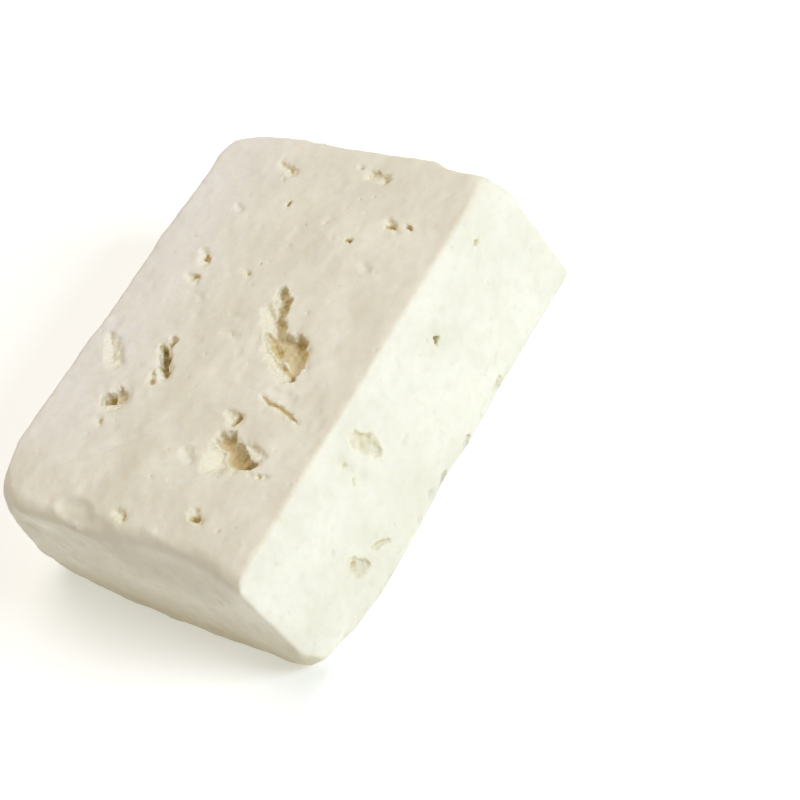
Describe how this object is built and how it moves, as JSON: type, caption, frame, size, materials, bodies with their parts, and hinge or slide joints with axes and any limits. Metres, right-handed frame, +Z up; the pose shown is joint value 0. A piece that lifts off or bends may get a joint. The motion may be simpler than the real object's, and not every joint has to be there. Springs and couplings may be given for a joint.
{
  "type": "block of white brined cheese",
  "caption": "Hand-cut block of semi-hard white cheese with rounded edges, gas openings and crumbled lower edges, lying flat.",
  "frame": {"origin": "middle of the block's box, on the surface it rests on", "axes": "+X along the length, -Y towards the front long side, +Z up"},
  "size_m": [0.1046, 0.0822, 0.0336],
  "materials": {
    "cheese": "moist ivory curd, satin"
  },
  "bodies": {
    "root": {"cheese": "cheese"}
  },
  "joints": []
}
